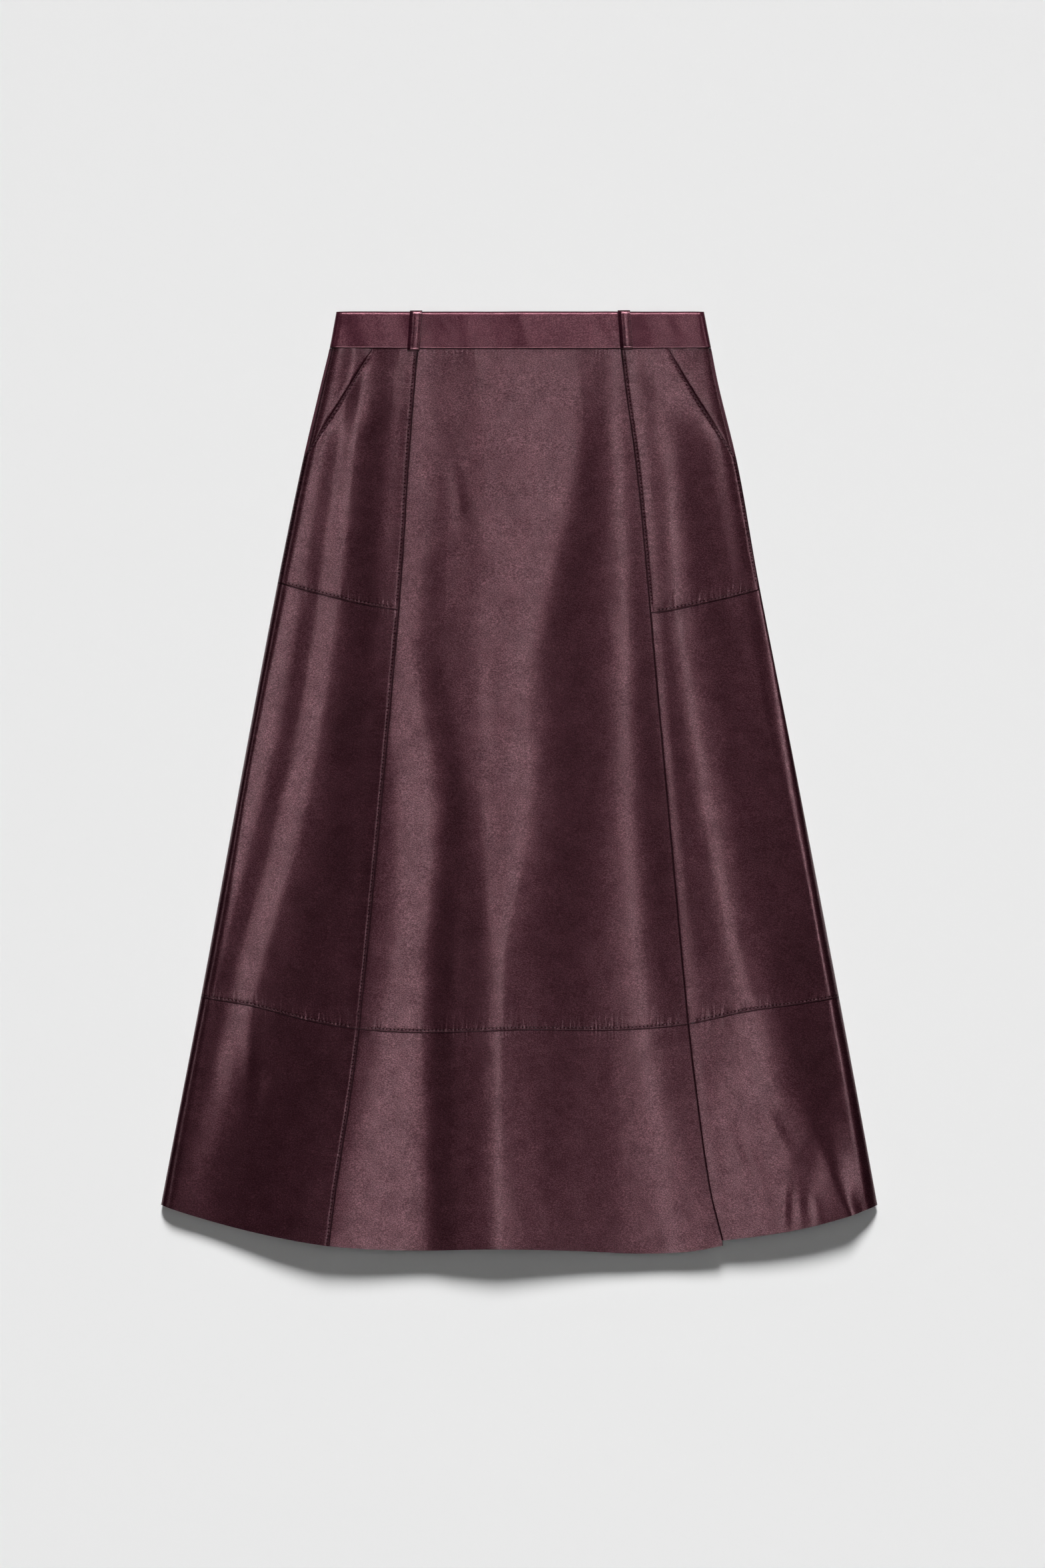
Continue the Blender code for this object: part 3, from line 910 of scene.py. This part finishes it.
band_creases = (
    Crease(-0.080, 0.4300, -0.064, 0.4080, 0.0030, -0.00008),
    Crease(-0.070, 0.4320, -0.056, 0.4140, 0.0026, -0.00006),
    Crease(0.068, 0.4300, 0.086, 0.4090, 0.0030, -0.00008),
    Crease(0.112, 0.4310, 0.126, 0.4150, 0.0030, -0.00007),
    Crease(0.010, 0.4330, 0.020, 0.4130, 0.0050, -0.00010),
    Crease(-0.020, 0.4300, -0.034, 0.4060, 0.0055, -0.00010),
    Crease(-0.140, 0.4320, -0.130, 0.4120, 0.0040, -0.00008),
)


# It also bows along its length, and ripples where the seam below draws it in.
band_bow = 0.0004
BandWave = namedtuple("BandWave", "length height start")
band_waves = (
    BandWave(0.076, 0.00026, 0.6),
    BandWave(0.046, 0.00016, 2.1),
    BandWave(0.026, 0.00008, 0.9),
)
band_wave_lean = 0.3
band_roll = 0.007
band_back_roll = 0.004
band_back_lift = 0.0002


def band_front_points(places, relief, under):
    x, y = plan(places.across, places.down, inset=under)
    seam = side_seam_height(0 * places.down) + seam_gap / 2
    level = band_top + relief - under + creased(band_creases, x, y)
    level = level + 0.9 * hide_waviness(x, y + 0.7) + band_bow * np.sin(places.across * 5.1 + 0.4)
    leaning = x + band_wave_lean * (y - waist_y)
    for wave in band_waves:
        level = level + wave.height * np.sin(math.tau * leaning / wave.length + wave.start)
    past = past_roll(places, band_roll)
    return x, y, seam + np.sqrt(1 - past ** 2) * (level - seam)


def band_back_points(places, relief, over):
    x, y = plan(places.across, places.down, inset=over)
    seam = side_seam_height(0 * places.down) - seam_gap / 2
    outer = band_back_lift - relief + 0.5 * hide_waviness(x, y + 0.9)
    outer = np.maximum(outer, surface_room)
    past = past_roll(places, band_back_roll)
    return x, y, seam - np.sqrt(1 - past ** 2) * (seam - outer - over)


def band_piece(name, node, left, right, columns, points):
    top = Edge(at(-seam_gap / 2), band_steps, "side")
    bottom = Edge(at(band_height), band_steps, "side")
    places = cut(left, right, top, bottom, columns, 14, at(band_roll))
    relief = band_profile(places)
    seams = (0 * relief + 1, 0 * relief, 0 * relief)
    piece = shell(name, points(places, relief, 0.0), points(places, -0.4 * relief, band_thickness),
                  (lit_band_leather, lit_band_leather), seams)
    take_place(piece, node)
    return piece


band_end = Edge(at(0.0), plain_steps, "plain")

band_back_left = band_piece(
    "waistband_leather_back_left", "waistband_back_left", left_side, band_end,
    70, band_back_points)
band_back_right = band_piece(
    "waistband_leather_back_right", "waistband_back_right", band_end, right_side,
    70, band_back_points)
band_front = band_piece(
    "waistband_leather_front", "waistband_front", left_side, right_side,
    170, band_front_points)


# ---------------------------------------------------------------- stitching
# Rows of topstitching in thread of the leather's own colour, seven stitches to the inch,
# 2 mm in from the folded edges. Each stitch lies in the groove that it pulls.

thread, thread_tree, thread_skin = new_finish("burgundy thread")
twist = add_node(thread_tree, "ShaderNodeTexWave")
feed(twist.inputs["Vector"], object_place(thread_tree))
twist.inputs["Scale"].default_value = 900
feed(thread_skin.inputs["Base Color"],
     blend(thread_tree, twist.outputs["Fac"], (0.040, 0.008, 0.015, 1), (0.085, 0.020, 0.034, 1)))
thread_skin.inputs["Roughness"].default_value = 0.5

stitch_radius = 0.00024


def stitches(name, points, stand=-0.00006):
    """One stitch between each pair of neighbouring points, sunk in the leather."""
    data = bmesh.new()
    for start, end in zip(points[:-1], points[1:]):
        start, end = Vector(start), Vector(end)
        run = end - start
        middle = (start + end) / 2 + Vector((0, 0, stand))
        length = run.length
        turn_to = run.to_track_quat("X", "Z").to_matrix().to_4x4()
        size = Matrix.Diagonal((0.36 * length, stitch_radius, stitch_radius, 1))
        bmesh.ops.create_uvsphere(data, u_segments=6, v_segments=5, radius=1,
                                  matrix=Matrix.Translation(middle) @ turn_to @ size)
    mesh = mesh_from(name, data)
    mesh.shade_smooth()
    mesh.materials.append(thread)
    piece = put_in_scene(name, mesh)
    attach(piece, "root")


stitch_line = seam_gap / 2 + stitch_away
seam_end_room = 0.001        # a row stops this far from a seam that crosses it
hip_row_room = 0.018         # shares of the width left free where rows would cross
hem_row_room = 0.012
row_end = 0.985
last_stitch = 0.868


def on_fold(across, down, lift=0.0):
    """Points on top of a folded edge, on its stitch line."""
    spot = Cut(across, down, 0, 0, 0, 0)
    return list(zip(*front_points(spot, turned_edge(0 * down + stitch_away), 0.0, lift)))


def long_row(side, sign, start, end):
    """A row on the outer side of a long seam."""
    down = np.arange(math.ceil(start / stitch_pitch), math.floor(end / stitch_pitch) + 1)
    down = down * stitch_pitch
    seam = column(long_seams, "down", side, down)
    across = seam + sign * stitch_line / half_width(0 * down + sign, down)
    return on_fold(across, down, mouth_gape(across, down) * (down < 0.28))


def cross_row(rows, start, end):
    """A row above a cross seam, from one place across to another."""
    ends = np.array([start, end])
    first, last = ends * half_width(ends, column(rows, "across", "down", ends))
    x = np.arange(math.ceil(first / stitch_pitch), math.floor(last / stitch_pitch) + 1)
    x = x * stitch_pitch
    across = x / half_width(x, 0 * x + 0.5 * (rows[0].down + rows[-1].down))
    for _ in range(4):
        down = column(rows, "across", "down", across) - seam_gap / 2 - stitch_away
        across = x / half_width(x, down)
    return on_fold(across, down)


def seam_at(side, down):
    """Where a long seam is at a level."""
    return column(long_seams, "down", side, np.array([down]))[0]


def beside(sign, seam, room):
    """From a long seam to the skirt's side, with room at the seam."""
    return (-row_end, seam - room) if sign < 0 else (seam + room, row_end)


hem_seams = []
for side, sign in (("left", -1), ("right", 1)):
    hip_at = seam_at(side, 0.28)
    hem_at = seam_at(side, hem_band_top)
    hem_seams.append(hem_at)
    hip_end = column(hip_seam, "across", "down", np.array([hip_at]))[0]
    hem_end = column(hem_band_seam, "across", "down", np.array([hem_at]))[0]
    stitches("stitches_hip_seam_long_" + side,
             long_row(side, sign, band_height + 0.0015, hip_end - seam_end_room))
    if side == "left":
        stitches("stitches_side_seam_long_left",
                 long_row(side, sign, hip_end + seam_end_room, hem_end - seam_end_room))
        stitches("stitches_hem_seam_long_left",
                 long_row(side, sign, hem_end + seam_end_room, last_stitch))
    stitches("stitches_hip_cross_" + side,
             cross_row(hip_seam, *beside(sign, hip_at, hip_row_room)))
    stitches("stitches_hem_cross_" + side,
             cross_row(hem_band_seam, *beside(sign, hem_at, hem_row_room)))

    down = np.arange(math.ceil(band_height / stitch_pitch) + 1,
                     math.floor(pocket_end / stitch_pitch) + 1) * stitch_pitch
    across = sign * (mouth(down) - stitch_line / half_width(0 * down + sign, down))
    stitches("stitches_pocket_" + side, on_fold(across, down, mouth_gape(across, down)))

stitches("stitches_hem_cross_centre",
         cross_row(hem_band_seam, hem_seams[0] + hem_row_room, hem_seams[1] - hem_row_room))


# ---------------------------------------------------------------- belt loops
# Two narrow strips, folded in three and stitched along both edges. Each stands over the
# waistband from its upper edge to just below it, with room for a belt.

Loop = namedtuple("Loop", "side top_x bottom_x top_y bottom_y")
loops = (
    Loop("left", -0.0950, -0.0976, 0.0003, -0.0368),
    Loop("right", 0.0975, 0.1001, 0.0005, -0.0352),
)
loop_width = 0.0104
loop_thickness = 0.0018
loop_room = 0.0052
loop_squareness = 6.0
loop_row = 0.0017            # from a strip's edge to its row of stitches
loop_pitch = 0.0027
loop_fold = 0.0016           # how far the folded left edge stands out
loop_margin = 0.15           # the share of the width that it takes up
loop_groove = 0.00020

# Folded in three and pressed, the strip is shinier than the waistband. Its colour is a lighter copy
# of the leather's: painted light.
lit_loop_leather = grain_leather("lit belt loop leather", (0.0140, 0.0026, 0.0056, 1),
                             (0.0300, 0.0058, 0.0118, 1), 0.28, 0.95, 0.36, 0.2)


def loop_points(loop, share, turn_share, grow, edge_drop):
    """Points of a loop's strip: share runs over its width, turn_share along it."""
    top, bottom = loop.top_y - grow, loop.bottom_y + grow
    turn_angle = math.pi * turn_share
    swing = np.cos(turn_angle)
    along = 0.5 - 0.5 * np.sign(swing) * np.abs(swing) ** (2 / loop_squareness)
    arch = np.abs(np.sin(turn_angle)) ** (2 / loop_squareness)
    y = top + (bottom - top) * along
    lean = (loop.top_y - y) / (loop.top_y - loop.bottom_y)
    folded = np.clip(1 - share / 0.22, 0, 1)
    x = loop.top_x + (loop.bottom_x - loop.top_x) * lean + (share - 0.5) * loop_width
    x = x - 0.6 * loop_fold * folded
    z = band_top + seam_gap + arch * (loop_room + loop_thickness - grow)
    z = z - arch * (edge_drop + loop_fold * folded ** 1.4)
    return x, waist_y + y, z


for loop in loops:
    across_steps = np.array((0, 0.012, 0.04, 0.08, 0.13, 0.17, 0.21, 0.26, 0.30, 0.34, 0.40, 0.50,
                             0.62, 0.74, 0.80, 0.84, 0.88, 0.92, 0.96, 0.988, 1.0))
    spread = np.linspace(-1, 1, 84)
    share, turn_share = np.meshgrid(across_steps, 0.5 + 0.5 * spread * np.abs(spread) ** 0.8)
    away = loop_width * np.minimum(share - loop_margin, 1 - share)
    drop = rounded(away, fold_bend) + loop_groove * np.exp(-((away - loop_row) / 0.0005) ** 2)
    outer = loop_points(loop, share, turn_share, 0.0, drop)
    inner = loop_points(loop, share, turn_share, loop_thickness, 0 * drop)
    run = outer[1] - waist_y
    # The seam attribute gives the strip painted shade at its edges and in its needle holes.
    seams = (np.maximum(away, 0) + stitch_away - loop_row, run, 0.0 * away + 0.7)
    strip = shell("belt_loop_leather_" + loop.side, outer, inner, (lit_loop_leather, lit_loop_leather),
                  seams)
    take_place(strip, "belt_loop_" + loop.side)
    for row_side, row_share in (("left", loop_margin + loop_row / loop_width),
                                ("right", 1 - loop_row / loop_width)):
        fine = np.linspace(-0.88, 0.88, 400)
        fine = 0.5 + 0.5 * fine * np.abs(fine) ** 0.8
        line = loop_points(loop, 0 * fine + row_share, fine, 0.0, 0 * fine + 0.00012)
        steps = np.sqrt(np.diff(line[1]) ** 2 + np.diff(line[2]) ** 2)
        gone = np.concatenate(([0.0], np.cumsum(steps)))
        marks = np.arange(0, gone[-1], loop_pitch)
        row_points = [np.interp(marks, gone, part) for part in line]
        stitches("stitches_loop_" + loop.side + "_" + row_side, list(zip(*row_points)), 0.00006)


# ---------------------------------------------------------------- surface, light, camera
# The skirt lies on a plain white surface under a long soft light, with a low light from
# beyond the waist that throws the hem's shadow, and is seen from straight above.

floor_data = bmesh.new()
bmesh.ops.create_grid(floor_data, x_segments=1, y_segments=1, size=4.0,
                      matrix=Matrix.Translation((0, 0, -0.0002)))
floor_mesh = mesh_from("surface", floor_data)
floor_white, _, floor_skin = new_finish("white surface")
floor_skin.inputs["Base Color"].default_value = (0.95, 0.95, 0.95, 1)
floor_skin.inputs["Roughness"].default_value = 1.0
floor_skin.inputs["Specular IOR Level"].default_value = 0.0
floor_mesh.materials.append(floor_white)
surface = put_in_scene("surface", floor_mesh)

room = bpy.data.worlds.new("room")
bpy.context.scene.world = room
room.use_nodes = True
room.node_tree.nodes["Background"].inputs["Color"].default_value = (1, 1, 1, 1)
room.node_tree.nodes["Background"].inputs["Strength"].default_value = 0.01


def strip_light(name, location, turned_by, width, length, power):
    data = bpy.data.lights.new(name, "AREA")
    data.shape = "RECTANGLE"
    data.size = width
    data.size_y = length
    data.energy = power
    lamp = put_in_scene(name, data)
    lamp.location = location
    lamp.rotation_euler = turned_by
    return lamp


over_x = 0.10
over_z = 3.6
side_z = 2.65
end_z = 2.2
strip_light("strip over the skirt", (over_x, 0.0, over_z), (0, math.atan(over_x / over_z), 0),
            0.05, 3.2, 20)
for side_name, side_x, side_power in (("left", -2.05, 5.0), ("right", 2.05, 15.0)):
    side_strip = strip_light("strip on the " + side_name, (side_x, 0.38, side_z),
                             (0, math.atan2(side_x, side_z), 0), 0.20, 2.0, side_power)
    side_strip.visible_diffuse = False
for end_name, end_y in (("waist", 2.3), ("hem", -2.3)):
    end_strip = strip_light("strip beyond the " + end_name, (0.0, end_y, end_z),
                            (-math.atan2(end_y, end_z), 0, 0), 2.0, 0.45, 70)
    end_strip.visible_diffuse = False

low_light = bpy.data.lights.new("light beyond the waist", "SUN")
low_light.angle = math.radians(14)
low_light.energy = 4.95
low_lamp = put_in_scene("light beyond the waist", low_light)
height_angle = math.radians(27)
falling = Vector((0, -math.cos(height_angle), -math.sin(height_angle)))
low_lamp.rotation_euler = falling.to_track_quat("-Z", "Y").to_euler()
low_lamp.visible_glossy = False

camera_data = bpy.data.cameras.new("camera")
camera_data.sensor_width = 36
camera_data.lens = 74.07
camera = put_in_scene("camera", camera_data)
camera.location = (0.0031, waist_y - 0.43865, 3.0)
bpy.context.scene.camera = camera
bpy.context.scene.view_settings.view_transform = "Standard"
